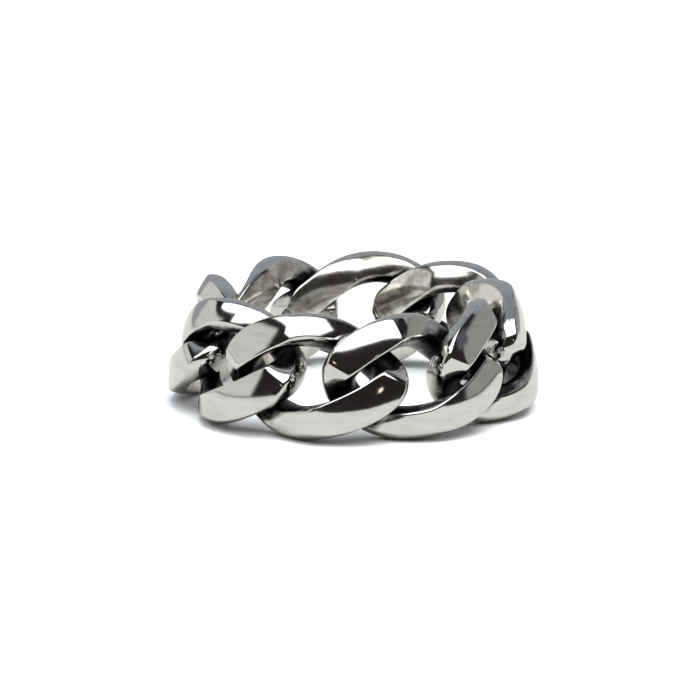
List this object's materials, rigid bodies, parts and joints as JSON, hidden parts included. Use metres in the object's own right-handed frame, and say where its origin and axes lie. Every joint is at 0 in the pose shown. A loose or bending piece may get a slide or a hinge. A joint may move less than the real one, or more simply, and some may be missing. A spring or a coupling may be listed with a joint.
{
  "type": "chain link ring",
  "caption": "Finger ring made of heavy twisted curb links that pass through each other in a closed band, filed to a smooth domed outer face.",
  "frame": {"origin": "middle of the ring's axis, level with the lowest points of the links, which it rests on", "axes": "+Z along the finger, upwards as the ring lies on its side; -Y towards the front of the picture"},
  "size_m": [0.0286, 0.0284, 0.0093],
  "materials": {
    "silver": "polished silver with dark patina between the links"
  },
  "bodies": {
    "root": {"link_1": "silver", "link_2": "silver", "link_3": "silver", "link_4": "silver", "link_5": "silver", "link_6": "silver", "link_7": "silver", "link_8": "silver", "link_9": "silver"}
  },
  "joints": []
}
